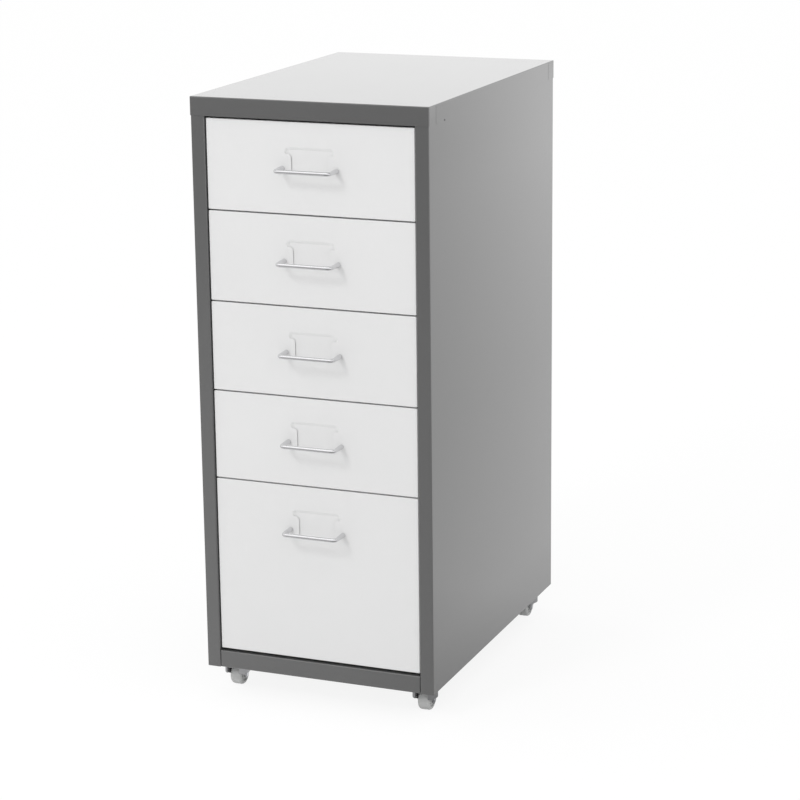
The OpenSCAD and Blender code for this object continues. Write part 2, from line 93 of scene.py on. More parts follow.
def make_camera():
    forward = Vector((-sin(CAM_YAW) * cos(CAM_PITCH), cos(CAM_YAW) * cos(CAM_PITCH),
                      -sin(CAM_PITCH)))
    level = Vector((cos(CAM_YAW), sin(CAM_YAW), 0.0))
    upright = level.cross(forward)
    right = cos(CAM_ROLL) * level + sin(CAM_ROLL) * upright
    up = -sin(CAM_ROLL) * level + cos(CAM_ROLL) * upright
    data = bpy.data.cameras.new("camera")
    data.sensor_width = SENSOR
    data.lens = SENSOR * FOCAL_PX / IMAGE
    data.clip_start, data.clip_end = CLIP_NEAR, CLIP_FAR
    camera = bpy.data.objects.new("camera", data)
    turn = Matrix((right, up, -forward)).transposed()
    camera.matrix_world = Matrix.Translation(CAM_PLACE) @ turn.to_4x4()
    bpy.context.scene.collection.objects.link(camera)
    bpy.context.scene.camera = camera


# ---------------------------------------------------------------- materials

def add_node(tree, kind, **sockets):
    """New shader node with sockets set by name, where _ stands for a space."""
    made = tree.nodes.new(kind)
    for key, value in sockets.items():
        made.inputs[key.replace("_", " ")].default_value = value
    return made


class Nodes:
    """Small helper that adds and links shader nodes of one material."""

    def __init__(self, name):
        self.material = bpy.data.materials.new(name)
        self.material.use_nodes = True
        self.tree = self.material.node_tree
        self.shader = self.tree.nodes["Principled BSDF"]

    def link(self, a, b):
        self.tree.links.new(a, b)

    def noise(self, scale, detail):
        place = add_node(self.tree, "ShaderNodeTexCoord")
        made = add_node(self.tree, "ShaderNodeTexNoise", Scale=scale, Detail=detail)
        self.link(place.outputs["Object"], made.inputs["Vector"])
        return made.outputs["Fac"]

    def ranged(self, value, low, high, from_low, from_high):
        """Value that runs from low to high while the given one runs over its own range."""
        made = add_node(self.tree, "ShaderNodeMapRange", From_Min=from_low, From_Max=from_high,
                        To_Min=low, To_Max=high)
        self.link(value, made.inputs["Value"])
        return made.outputs["Result"]

    def mix(self, factor, a, b):
        made = self.tree.nodes.new("ShaderNodeMix")
        made.data_type = "RGBA"
        self.link(factor, made.inputs["Factor"])
        for index, value in ((6, a), (7, b)):
            if isinstance(value, tuple):
                made.inputs[index].default_value = value
            else:
                self.link(value, made.inputs[index])
        return made.outputs[2]

    def bump(self, layers):
        """Stacks bump layers, each a height with its depth in metres."""
        normal = None
        for height, depth in layers:
            made = add_node(self.tree, "ShaderNodeBump", Strength=1.0, Distance=depth)
            self.link(height, made.inputs["Height"])
            if normal:
                self.link(normal, made.inputs["Normal"])
            normal = made.outputs["Normal"]
        self.link(normal, self.shader.inputs["Normal"])


def grey(value):
    return (value, value, value, 1.0)


def shade(colour, factor):
    return tuple(min(1.0, c * factor) for c in colour[:3]) + (1.0,)


COAT_IOR = 1.55
# Noises of the finishes: scale, in features to the metre, and detail
TONE_DRIFT, FLECKS, PAINT_CLOUD = (6.0, 2.0), (2600.0, 2.0), (9.0, 3.0)
ORANGE_PEEL, FINE_PEEL = (420.0, 2.0), (1500.0, 2.0)
METAL_TONE, METAL_STAIN, METAL_CLOUD = (90.0, 4.0), (260.0, 5.0), (140.0, 5.0)
GRAIN_DETAIL = 3.0
NYLON_FLOW, NYLON_DUST, NYLON_CLOUD = (60.0, 5.0), (480.0, 4.0), (200.0, 3.0)
NYLON_PEBBLE, NYLON_FINE = (900.0, 3.0), (4000.0, 2.0)
# Lighter and darker shares of the base colour
PAINT_DARK, PAINT_LIGHT, FLECK_LIGHT = 0.98, 1.02, 1.15
METAL_DARK, METAL_LIGHT, STAIN_DARK = 0.94, 1.05, 0.85
NYLON_DARK, NYLON_LIGHT, DUST_DARK = 0.93, 1.04, 0.75
# Depths of the bumps, and how deep light reaches into nylon
FINE_PEEL_SHARE = 0.4
NYLON_PEBBLE_D, NYLON_FINE_D = 0.01 * MM, 0.004 * MM
NYLON_GLOW_DEPTH = 2 * MM


def paint(name, colour, roughness, coat, coat_roughness, peel):
    """Baked powder paint: faint tone drift, fine flecks and orange peel."""
    n = Nodes(name)
    drift = n.mix(n.noise(*TONE_DRIFT), shade(colour, PAINT_DARK), shade(colour, PAINT_LIGHT))
    fleck = n.ranged(n.noise(*FLECKS), low=0.0, high=0.3, from_low=0.62, from_high=0.75)
    n.link(n.mix(fleck, drift, shade(colour, FLECK_LIGHT)), n.shader.inputs["Base Color"])
    cloud = n.ranged(n.noise(*PAINT_CLOUD), low=roughness - 0.01, high=roughness + 0.015,
                     from_low=0.3, from_high=0.7)
    n.link(cloud, n.shader.inputs["Roughness"])
    n.shader.inputs["Coat Weight"].default_value = coat
    n.shader.inputs["Coat Roughness"].default_value = coat_roughness
    n.shader.inputs["Coat IOR"].default_value = COAT_IOR
    n.bump([(n.noise(*ORANGE_PEEL), peel), (n.noise(*FINE_PEEL), peel * FINE_PEEL_SHARE)])
    return n.material


def metal(name, colour, roughness, spread, grain, grain_depth):
    """Bare or plated metal with cloudy roughness and a fine grain."""
    n = Nodes(name)
    tone = n.mix(n.noise(*METAL_TONE), shade(colour, METAL_DARK), shade(colour, METAL_LIGHT))
    stain = n.ranged(n.noise(*METAL_STAIN), low=0.0, high=0.3, from_low=0.58, from_high=0.75)
    n.link(n.mix(stain, tone, shade(colour, STAIN_DARK)), n.shader.inputs["Base Color"])
    n.shader.inputs["Metallic"].default_value = 1.0
    cloud = n.ranged(n.noise(*METAL_CLOUD), low=roughness, high=roughness + spread,
                     from_low=0.35, from_high=0.7)
    n.link(cloud, n.shader.inputs["Roughness"])
    n.bump([(n.noise(grain, GRAIN_DETAIL), grain_depth)])
    return n.material


def nylon(name, colour):
    """Moulded nylon: satin skin with faint flow marks, patches of dust and a fine pebble."""
    n = Nodes(name)
    flow = n.mix(n.noise(*NYLON_FLOW), shade(colour, NYLON_DARK), shade(colour, NYLON_LIGHT))
    dust = n.ranged(n.noise(*NYLON_DUST), low=0.0, high=0.25, from_low=0.55, from_high=0.8)
    n.link(n.mix(dust, flow, shade(colour, DUST_DARK)), n.shader.inputs["Base Color"])
    cloud = n.ranged(n.noise(*NYLON_CLOUD), low=0.38, high=0.52, from_low=0.3, from_high=0.7)
    n.link(cloud, n.shader.inputs["Roughness"])
    n.shader.inputs["Subsurface Weight"].default_value = 0.08
    n.shader.inputs["Subsurface Radius"].default_value = (NYLON_GLOW_DEPTH,) * 3
    n.bump([(n.noise(*NYLON_PEBBLE), NYLON_PEBBLE_D), (n.noise(*NYLON_FINE), NYLON_FINE_D)])
    return n.material


GREY_PAINT = paint("grey_paint", grey(0.120), roughness=0.16, coat=1.0,
                   coat_roughness=0.04, peel=0.003 * MM)
WHITE_PAINT = paint("white_paint", grey(0.80), roughness=0.40, coat=0.25,
                    coat_roughness=0.2, peel=0.004 * MM)
CHROME = metal("chrome", (0.70, 0.70, 0.71, 1.0), roughness=0.04, spread=0.03,
               grain=2500.0, grain_depth=0.0001 * MM)
ZINC = metal("zinc_steel", (0.62, 0.63, 0.65, 1.0), roughness=0.28, spread=0.14,
             grain=1600.0, grain_depth=0.003 * MM)
DARK_ZINC = metal("dark_zinc", (0.38, 0.38, 0.39, 1.0), roughness=0.30, spread=0.15,
                  grain=1600.0, grain_depth=0.004 * MM)
NYLON = nylon("wheel_nylon", (0.60, 0.605, 0.60, 1.0))
SLOT_MATERIAL = {
    "grey_paint": GREY_PAINT,
    "white_paint": WHITE_PAINT,
    "chrome": CHROME,
    "zinc_steel": ZINC,
    "dark_zinc": DARK_ZINC,
    "wheel_nylon": NYLON,
}

# ---------------------------------------------------------------- mesh helpers

SMOOTH_ANGLE = radians(32)
BEVEL_ANGLE = radians(50)
BEVEL_SEGMENTS = 2
AREA_WEIGHT = 100
MESH_WELD = 0.002 * MM
CAD_WELD = 0.005 * MM
LEAST_CORNER_R = 0.05 * MM
FOLD_STEPS = 5
CORNER_STEPS = 5
LATHE_STEPS = 64


def new_object(bm, name):
    """Object made of a bmesh, which is used up, in the scene."""
    mesh = bpy.data.meshes.new(name)
    bm.to_mesh(mesh)
    bm.free()
    made = bpy.data.objects.new(name, mesh)
    bpy.context.scene.collection.objects.link(made)
    return made


def smooth_up_to_sharp(bm, flat_triangles=False):
    """Shades faces smooth and marks edges over SMOOTH_ANGLE sharp."""
    for face in bm.faces:
        face.smooth = not (flat_triangles and len(face.verts) == 3)
    for edge in bm.edges:
        edge.smooth = len(edge.link_faces) == 2 and edge.calc_face_angle(0.0) < SMOOTH_ANGLE


def finish_mesh(bm, name, slot_name, bevel=0.0, flat_triangles=False):
    """Turns a bmesh into an object with its slot's material, smooth up to its sharp edges.
    Flat fills are triangles, and stay evenly lit where flat_triangles is set."""
    bmesh.ops.remove_doubles(bm, verts=bm.verts, dist=MESH_WELD)
    bmesh.ops.recalc_face_normals(bm, faces=bm.faces)
    smooth_up_to_sharp(bm, flat_triangles)
    made = new_object(bm, name)
    made.data.materials.append(SLOT_MATERIAL[slot_name])
    if bevel:
        edge_bevel(made, bevel)
    flat_normals(made)
    return made


def edge_bevel(made, width):
    cut = made.modifiers.new("edge", "BEVEL")
    cut.width = width
    cut.segments = BEVEL_SEGMENTS
    cut.limit_method = "ANGLE"
    cut.angle_limit = BEVEL_ANGLE
    cut.use_clamp_overlap = True


def flat_normals(made):
    """Keeps large flat faces evenly shaded beside folds and rounded edges."""
    weighted = made.modifiers.new("normals", "WEIGHTED_NORMAL")
    weighted.mode = "FACE_AREA"
    weighted.weight = AREA_WEIGHT
    weighted.keep_sharp = True


def body_of(node):
    for body, members in frame["record"]["behaviour"]["bodies"].items():
        if node in members:
            return body
    raise ValueError(node)


def stand_for(piece, slot_name, *nodes):
    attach(piece, body_of(nodes[0]))
    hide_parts(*nodes)


def strip_faces(legs, turns, thickness):
    """Left and right face of a folded strip's section, as two lists of 2-D points. A turn of
    1 or -1 folds right or left after its leg, and 0 ends the strip."""
    place, ahead, left = Vector((0, 0)), Vector((1, 0)), Vector((0, 1))
    lefts, rights = [place.copy()], [place - thickness * left]
    for leg, turn in zip(legs, turns):
        end = place + leg * ahead
        if turn == 0:
            lefts.append(end)
            rights.append(end - thickness * left)
            break
        outer = FOLD_IN + thickness
        lead = outer if turn > 0 else FOLD_IN
        centre = end - lead * ahead - turn * lead * left
        left_r, right_r = (outer, FOLD_IN) if turn > 0 else (FOLD_IN, outer)
        for k in range(FOLD_STEPS + 1):
            angle = k / FOLD_STEPS * pi / 2
            ray = turn * cos(angle) * left + sin(angle) * ahead
            lefts.append(centre + left_r * ray)
            rights.append(centre + right_r * ray)
        place = end
        ahead, left = -turn * left, turn * ahead
    return lefts, rights


def extrude_strip(bm, faces, placing, length, cuts):
    """Prism of a folded strip: placing(point2d, along) gives the 3-D place."""
    lefts, rights = faces
    rings = []
    for k in range(cuts + 1):
        along = length * k / cuts
        rings.append([[bm.verts.new(placing(p, along)) for p in side] for side in (lefts, rights)])
    for near, far in zip(rings, rings[1:]):
        for side in (0, 1):
            for i in range(len(lefts) - 1):
                bm.faces.new((near[side][i], near[side][i + 1], far[side][i + 1], far[side][i]))
        for i in (0, -1):
            bm.faces.new((near[0][i], near[1][i], far[1][i], far[0][i]))
    for ring in (rings[0], rings[-1]):
        for i in range(len(lefts) - 1):
            bm.faces.new((ring[0][i], ring[0][i + 1], ring[1][i + 1], ring[1][i]))


def rounded_loop(half_w, half_d, radius):
    """Rectangle round the origin with rounded corners, counter-clockwise."""
    points = []
    radius = max(radius, LEAST_CORNER_R)
    for quarter, (sx, sy) in enumerate(((1, 1), (-1, 1), (-1, -1), (1, -1))):
        centre = Vector((sx * (half_w - radius), sy * (half_d - radius)))
        for k in range(CORNER_STEPS + 1):
            angle = (quarter + k / CORNER_STEPS) * pi / 2
            points.append(centre + radius * Vector((cos(angle), sin(angle))))
    return points


def loft(bm, rings):
    """Joins closed rings of equal length with faces."""
    for near, far in zip(rings, rings[1:]):
        count = len(near)
        for i in range(count):
            j = (i + 1) % count
            bm.faces.new((near[i], near[j], far[j], far[i]))


def pan_rings(bm, half_w, half_d, depth, edge_r, corner_r, drop, placing):
    """Rings of a pan's skin, from the rim at depth up round its folded edge to the flat."""
    rings = []
    for inset, height in [(0.0, -depth)] + [
        (edge_r * (1 - cos(k / FOLD_STEPS * pi / 2)), edge_r * (sin(k / FOLD_STEPS * pi / 2) - 1))
        for k in range(FOLD_STEPS + 1)
    ]:
        loop = rounded_loop(half_w - inset, half_d - inset, corner_r - inset)
        rings.append([bm.verts.new(placing(p.x, p.y, height - drop)) for p in loop])
    loft(bm, rings)
    return rings


def fill_between(bm, outer, hole=None):
    """Flat face inside a ring, round a hole where one is given."""
    if hole is None:
        bm.faces.new(outer)
        return
    edges = []
    for ring in (outer, hole):
        for a, b in zip(ring, ring[1:] + ring[:1]):
            edges.append(bm.edges.get((a, b)) or bm.edges.new((a, b)))
    bmesh.ops.triangle_fill(bm, use_beauty=True, use_dissolve=False, edges=edges)


def lathe(bm, profile, placing):
    """Spins a closed profile of (radius, along) points round an axis: placing(a, b, along)
    gives the 3-D place of a point a and b off the axis."""
    rings = []
    for radius, along in profile:
        ring = []
        for k in range(LATHE_STEPS):
            angle = 2 * pi * k / LATHE_STEPS
            ring.append(bm.verts.new(placing(radius * cos(angle), radius * sin(angle), along)))
        rings.append(ring)
    loft(bm, rings)
    loft(bm, [rings[-1], rings[0]])


def arc_points(centre, radius, start, end, steps):
    """Points (radius, along) on an arc, angles in degrees."""
    return [
        (centre[0] + radius * cos(radians(start + (end - start) * k / steps)),
         centre[1] + radius * sin(radians(start + (end - start) * k / steps)))
        for k in range(steps + 1)
    ]


# ---------------------------------------------------------------- body

EDGE = 0.12 * MM
RIM_EDGE = 0.24 * MM
# How far the cutters reach past the skirt's faces and below its rim
CUT_PAST = 0.1 * MM
CUT_BELOW = 1 * MM


def lid():
    bm = bmesh.new()
    centre = (LID_LO + LID_HI) / 2
    half_w, half_d = (LID_HI.x - LID_LO.x) / 2, (LID_HI.y - LID_LO.y) / 2
    depth = LID_HI.z - LID_LO.z
    outer_r = FOLD_IN + SHEET
    corner_r = outer_r + PAN_CORNER_EXTRA

    def placing(x, y, z):
        return Vector((centre.x + x, centre.y + y, LID_HI.z + z))

    outer = pan_rings(bm, half_w, half_d, depth, outer_r, corner_r, 0.0, placing)
    inner = pan_rings(bm, half_w - SHEET, half_d - SHEET, depth - SHEET, FOLD_IN,
                      corner_r - SHEET, SHEET, placing)
    fill_between(bm, outer[-1])
    fill_between(bm, inner[-1])
    loft(bm, [outer[0], inner[0]])
    made = finish_mesh(bm, "lid", "grey_paint")
    cutter = lid_cutter(outer_r)
    cut = made.modifiers.new("slits", "BOOLEAN")
    cut.object = cutter
    cut.solver = "EXACT"
    apply_modifiers(made)
    bpy.data.objects.remove(cutter)
    smooth_again(made)
    edge_bevel(made, RIM_EDGE)
    flat_normals(made)
    stand_for(made, "grey_paint", "top_lid")


def add_box(bm, lo, hi):
    made = bmesh.ops.create_cube(bm, size=1.0)["verts"]
    for vert in made:
        vert.co = Vector([(lo[i] + hi[i]) / 2 + vert.co[i] * (hi[i] - lo[i]) for i in range(3)])


def lid_cutter(outer_r):
    """Slits beside the wraps and the locking notches, in both side skirts."""
    bm = bmesh.new()
    low = LID_LO.z - CUT_BELOW
    for x in (LID_LO.x, LID_HI.x - SHEET):
        lo_x, hi_x = x - CUT_PAST, x + SHEET + CUT_PAST
        for y in (LID_LO.y + WRAP_L, LID_HI.y - WRAP_L - SLIT_W):
            add_box(bm, (lo_x, y, low), (hi_x, y + SLIT_W, LID_HI.z - outer_r))
        add_box(bm, (lo_x, LID_LO.y + NOTCH_Y, low),
                (hi_x, LID_LO.y + NOTCH_Y + NOTCH_L, LID_LO.z + NOTCH_H))
    return new_object(bm, "lid_cutter")


def apply_modifiers(made):
    bpy.context.view_layer.update()
    graph = bpy.context.evaluated_depsgraph_get()
    baked = bpy.data.meshes.new_from_object(made.evaluated_get(graph))
    made.modifiers.clear()
    made.data = baked


def smooth_again(made):
    bm = bmesh.new()
    bm.from_mesh(made.data)
    smooth_up_to_sharp(bm)
    bm.to_mesh(made.data)
    bm.free()


def side_panel(side):
    """Frame return, frame, side and back flange folded from one sheet; side is -1 or 1."""
    legs = [RETURN_D, SIDE_HI.x - FRAME_IN, SIDE_HI.y - SIDE_LO.y, BACK_FLANGE_W]
    faces = strip_faces(legs, [1, 1, 1, 0], SHEET)
    height = SIDE_HI.z - SIDE_LO.z

    def placing(p, along):
        return Vector((side * (FRAME_IN - p.y), SIDE_LO.y + RETURN_D - p.x, SIDE_LO.z + along))

    bm = bmesh.new()
    extrude_strip(bm, faces, placing, height, cuts=8)
    name = "right_side_panel" if side > 0 else "left_side_panel"
    made = finish_mesh(bm, name + "_skin", "grey_paint", EDGE)
    stand_for(made, "grey_paint", name)


def rail():
    """Front rail: a strip folded four times into a channel, open at the back between its lips."""
    depth, height = RAIL_HI.y - RAIL_LO.y, RAIL_HI.z - RAIL_LO.z
    faces = strip_faces([RAIL_LIP, depth, height, depth, RAIL_TAIL], [1, 1, 1, 1, 0], SHEET)

    def placing(p, along):
        return Vector((RAIL_LO.x + along, RAIL_HI.y + p.y, RAIL_LO.z + RAIL_LIP - p.x))

    bm = bmesh.new()
    extrude_strip(bm, faces, placing, RAIL_HI.x - RAIL_LO.x, cuts=4)
    made = finish_mesh(bm, "rail", "grey_paint", EDGE)
    stand_for(made, "grey_paint", "front_rail")


# ---------------------------------------------------------------- drawer fronts

CUT_R = 0.12 * MM
PRESS_W = 4 * MM
PRESS_STEPS = 6
SLOT_ARC_STEPS = 6


def press_depth(share):
    """Depth of the pressed slope at a share of its width."""
    return POCKET_D / 2 * (1 - cos(pi * share))


def slot_outline():
    """Card slot seen from the front: (point, outward normal, pressed), clockwise from the
    pressed upper right corner. Sheared lip edges are crisp, pressed edges are soft."""
    half_w, half_h = POCKET_W / 2, POCKET_H / 2
    lip_x, lip_z = half_w - POCKET_LIP_W, half_h - POCKET_LIP_DROP
    right = []

    def arc(cx, cz, start, end, sign, pressed):
        for k in range(SLOT_ARC_STEPS + 1):
            angle = radians(start + (end - start) * k / SLOT_ARC_STEPS)
            ray = Vector((cos(angle), sin(angle)))
            right.append((Vector((cx, cz)) + POCKET_R * ray, sign * ray, pressed))

    arc(half_w - POCKET_R, half_h - POCKET_R, 90, 0, 1, True)
    right.append((Vector((half_w, lip_z)), Vector((1, -1)).normalized(), False))
    arc(lip_x + POCKET_R, lip_z - POCKET_R, 90, 180, -1, False)
    right.append((Vector((lip_x, -half_h)), Vector((1, -1)).normalized(), False))
    left = [(Vector((-p.x, p.y)), Vector((-n.x, n.y)), r) for p, n, r in reversed(right)]
    return right + left


def drawer_front(i):
    lo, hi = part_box(f"drawer_{i}_front")
    handle_lo, handle_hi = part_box(f"drawer_{i}_handle")
    handle_z = (handle_lo.z + handle_hi.z) / 2
    mid_z = (lo.z + hi.z) / 2
    pocket_z = handle_z + POCKET_RISE - POCKET_H / 2
    half_w, half_h = (hi.x - lo.x) / 2, (hi.z - lo.z) / 2
    depth = hi.y - lo.y
    outer_r = FOLD_IN + DRAWER_SHEET
    corner_r = outer_r + PAN_CORNER_EXTRA
    bm = bmesh.new()

    def placing(x, z, out):
        return Vector((x, lo.y - out, mid_z + z))

    def slot_vert(p, n, out, deep):
        """Vertex at an outline's point, moved out along its normal and deep into the front."""
        return bm.verts.new(Vector((p.x + n.x * out, lo.y + deep, pocket_z + p.y + n.y * out)))

    outer = pan_rings(bm, half_w, half_h, depth, outer_r, corner_r, 0.0, placing)
    inner = pan_rings(bm, half_w - DRAWER_SHEET, half_h - DRAWER_SHEET, depth - DRAWER_SHEET,
                      FOLD_IN, corner_r - DRAWER_SHEET, DRAWER_SHEET, placing)
    loft(bm, [outer[0], inner[0]])
    outline = slot_outline()
    slot = []
    for k in range(PRESS_STEPS + 1):
        share = k / PRESS_STEPS
        angle = share * pi / 2
        ring = []
        for p, n, pressed in outline:
            out = PRESS_W / 2 * (1 - share) if pressed else CUT_R * (1 - sin(angle))
            deep = press_depth(share / 2) if pressed else CUT_R * (1 - cos(angle))
            ring.append(slot_vert(p, n, out, deep))
        slot.append(ring)
    for step in (0.0, CUT_R):
        slot.append([slot_vert(p, n, step, DRAWER_SHEET) for p, n, pressed in outline])
    loft(bm, slot)
    fill_between(bm, outer[-1], slot[0])
    fill_between(bm, inner[-1], slot[-1])
    pocket_pan(bm, lo.y, pocket_z)
    made = finish_mesh(bm, f"drawer_{i}_face", "white_paint", flat_triangles=True)
    stand_for(made, "white_paint", f"drawer_{i}_front")


def pocket_pan(bm, face_y, pocket_z):
    """Pressed floor of the pocket with its walls, behind the card slot."""
    half_w, half_h = POCKET_W / 2, POCKET_H / 2
    floor_y = face_y + POCKET_D
    rim_y = face_y + DRAWER_SHEET

    def ring(half_x, half_z, radius, y):
        return [bm.verts.new(Vector((p.x, y, pocket_z + p.y)))
                for p in rounded_loop(half_x, half_z, radius)]

    inner = []
    for k in range(PRESS_STEPS + 1):
        share = k / PRESS_STEPS
        inset = PRESS_W / 2 * share
        inner.append(ring(half_w - inset, half_h - inset, POCKET_R - inset,
                          face_y + press_depth(0.5 + share / 2)))
    loft(bm, inner)
    bm.faces.new(inner[-1])
    outer = [ring(half_w + DRAWER_SHEET, half_h + DRAWER_SHEET, POCKET_R + DRAWER_SHEET, y)
             for y in (rim_y, floor_y + DRAWER_SHEET)]
    loft(bm, outer)
    bm.faces.new(outer[-1])
    loft(bm, [inner[0], outer[0]])


# ---------------------------------------------------------------- handles and screws

BEND_R = 5 * MM
BAR_R = 2.3 * MM
FOOT_R = 2.9 * MM
# Foot that swells from the bar to its seat: (distance from the front, radius)
FOOT_PROFILE = [(0.0, FOOT_R - 0.3 * MM), (0.3 * MM, FOOT_R), (3.5 * MM, FOOT_R * 0.99),
                (9 * MM, FOOT_R * 0.93), (14 * MM, BAR_R * 1.04)]
BEND_STEPS = 16
TUBE_SIDES = 40
HANDLE_HEAD_H = 2 * MM
BODY_HEAD_H = 1.8 * MM
# Screw head, in shares of its radius and height: its dome's (radius, height), and the recess's
# half length, half width and depth. The taper is the recess's floor against its mouth.
HEAD_DOME = [(1.0, 0.0), (1.0, 0.45), (0.96, 0.68), (0.86, 0.88), (0.72, 1.0)]
RECESS_ARM, RECESS_WALL, RECESS_D = 0.62, 0.14, 0.55
RECESS_TAPER = 0.8
HEAD_STEPS = 24


def tube(bm, path):
    """Round rod along (place, tangent, radius) points that lie in a level plane."""
    rings = []
    for place, tangent, radius in path:
        side = Vector((0, 0, 1)).cross(tangent).normalized()
        rings.append([
            bm.verts.new(place + radius * (cos(2 * pi * k / TUBE_SIDES) * side
                                           + sin(2 * pi * k / TUBE_SIDES) * Vector((0, 0, 1))))
            for k in range(TUBE_SIDES)
        ])
    loft(bm, rings)
    bm.faces.new(rings[0])
    bm.faces.new(rings[-1])


def handle(i):
    lo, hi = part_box(f"drawer_{i}_handle")
    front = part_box(f"drawer_{i}_front")[0].y
    level = (lo.z + hi.z) / 2
    half = (hi.x - lo.x) / 2 - FOOT_R
    bar_y = lo.y + BAR_R
    right = []
    for out, radius in FOOT_PROFILE:
        right.append((Vector((half, front - out, level)), Vector((0, -1, 0)), radius))
    centre = Vector((half - BEND_R, bar_y + BEND_R, level))
    for k in range(BEND_STEPS + 1):
        angle = -k / BEND_STEPS * pi / 2
        ray = Vector((cos(angle), sin(angle), 0))
        right.append((centre + BEND_R * ray, Vector((sin(angle), -cos(angle), 0)), BAR_R))
    left = [(Vector((-p.x, p.y, p.z)), Vector((t.x, -t.y, 0)), r) for p, t, r in reversed(right)]
    bm = bmesh.new()
    tube(bm, right + left)
    made = finish_mesh(bm, f"handle_{i}", "chrome")
    stand_for(made, "chrome", f"drawer_{i}_handle")


def screw_head(bm, place, outward, radius, height):
    """Pan head with a cross recess, its underside at place and its top along outward."""
    u = outward.orthogonal().normalized()
    v = outward.cross(u)
    arm, wall = RECESS_ARM * radius, RECESS_WALL * radius
    depth = RECESS_D * height

    def ring(r, along):
        angles = [2 * pi * (k + 0.5) / HEAD_STEPS for k in range(HEAD_STEPS)]
        return [bm.verts.new(place + outward * along + r * (cos(a) * u + sin(a) * v))
                for a in angles]

    dome = [ring(r * radius, h * height) for r, h in HEAD_DOME]
    loft(bm, dome)
    bm.faces.new(dome[0])
    cross = [(arm, wall), (wall, wall), (wall, arm), (-wall, arm), (-wall, wall), (-arm, wall),
             (-arm, -wall), (-wall, -wall), (-wall, -arm), (wall, -arm), (wall, -wall),
             (arm, -wall)]
    rim = [bm.verts.new(place + outward * height + a * u + b * v) for a, b in cross]
    well = [bm.verts.new(place + outward * (height - depth) + RECESS_TAPER * (a * u + b * v))
            for a, b in cross]
    loft(bm, [rim, well])
    bm.faces.new(well)
    fill_between(bm, dome[-1], rim)


def handle_screws(i):
    lo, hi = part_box(f"drawer_{i}_handle_screws")
    radius, height = (hi.z - lo.z) / 2, HANDLE_HEAD_H
    bm = bmesh.new()
    for side in (-1, 1):
        x = side * (hi.x - radius)
        screw_head(bm, Vector((x, hi.y - height, (lo.z + hi.z) / 2)), Vector((0, 1, 0)),
                   radius, height)
    made = finish_mesh(bm, f"handle_screws_{i}", "zinc_steel")
    stand_for(made, "zinc_steel", f"drawer_{i}_handle_screws")


def loose_parts(node):
    """Boxes of the separate solids in a node, as (lowest, highest) corners."""
    bm = bmesh.new()
    bm.from_mesh(frame["nodes"][node].data)
    bmesh.ops.remove_doubles(bm, verts=bm.verts, dist=CAD_WELD)
    boxes = []
    seen = set()
    for start in bm.verts:
        if start in seen:
            continue
        seen.add(start)
        group, stack = [], [start]
        while stack:
            vert = stack.pop()
            group.append(vert.co.copy())
            for edge in vert.link_edges:
                other = edge.other_vert(vert)
                if other not in seen:
                    seen.add(other)
                    stack.append(other)
        boxes.append((Vector([min(c[k] for c in group) for k in range(3)]),
                      Vector([max(c[k] for c in group) for k in range(3)])))
    bm.free()
    return boxes


def body_screws():
    bm = bmesh.new()
    for lo, hi in loose_parts("body_screws"):
        radius = (hi.x - lo.x) / 2
        place = Vector(((lo.x + hi.x) / 2, hi.y - BODY_HEAD_H, (lo.z + hi.z) / 2))
        screw_head(bm, place, Vector((0, 1, 0)), radius, BODY_HEAD_H)
    made = finish_mesh(bm, "back_screws", "zinc_steel")
    stand_for(made, "zinc_steel", "body_screws")


# ---------------------------------------------------------------- casters

TREAD_HALF = 7 * MM
TREAD_R = 3 * MM
TREAD_STEPS = 9
HUB_R = 4.5 * MM
BORE_R = 1.66 * MM
DISH_MARGIN = 1 * MM
DISH_D = 1.5 * MM
WHEEL_CHAMFER = 0.2 * MM
WHEEL_FILLET = 0.3 * MM
FILLET_STEPS = 3
WHEEL_LAND = 0.1 * MM
# Slot and edge rounding of the caster pieces that keep their CAD shape
CASTER_FINISH = {"fork": ("dark_zinc", 0.25 * MM), "plate": ("zinc_steel", 0.2 * MM),
                 "axle": ("zinc_steel", 0.25 * MM)}
FLAT_ANGLE = radians(1.0)


def wheel(corner):
    """Turned wheel with a hub, a dish on each side and a rounded tread."""
    node = f"caster_{corner}_wheel"
    lo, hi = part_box(node)
    centre = (lo + hi) / 2
    wheel_r = (hi.z - lo.z) / 2
    hub_x = (hi.x - lo.x) / 2
    tread = TREAD_HALF
    dish_in, dish_out = HUB_R + DISH_MARGIN, wheel_r - TREAD_R - DISH_MARGIN
    dish_x = tread - DISH_D + WHEEL_FILLET
    half = [(BORE_R, hub_x - WHEEL_CHAMFER), (BORE_R + WHEEL_CHAMFER, hub_x),
            (HUB_R - WHEEL_FILLET, hub_x)]
    half += arc_points((HUB_R - WHEEL_FILLET, hub_x - WHEEL_FILLET), WHEEL_FILLET, 90, 0,
                       FILLET_STEPS)[1:]
    half += [(HUB_R, tread), (HUB_R + WHEEL_LAND, tread), (dish_in - WHEEL_CHAMFER, tread),
             (dish_in, tread - WHEEL_CHAMFER), (dish_in, dish_x)]
    half += arc_points((dish_in + WHEEL_FILLET, dish_x), WHEEL_FILLET, 180, 270, FILLET_STEPS)[1:]
    half += arc_points((dish_out - WHEEL_FILLET, dish_x), WHEEL_FILLET, 270, 360, FILLET_STEPS)
    half += [(dish_out, tread - WHEEL_CHAMFER), (dish_out + WHEEL_CHAMFER, tread)]
    half += arc_points((wheel_r - TREAD_R, tread - TREAD_R), TREAD_R, 90, 0, TREAD_STEPS)
    half.append((wheel_r, WHEEL_LAND))
    profile = half + [(r, -a) for r, a in reversed(half)]

    def placing(a, b, along):
        return centre + Vector((along, a, b))

    bm = bmesh.new()
    lathe(bm, profile, placing)
    made = finish_mesh(bm, f"wheel_{corner}", "wheel_nylon")
    stand_for(made, "wheel_nylon", node)


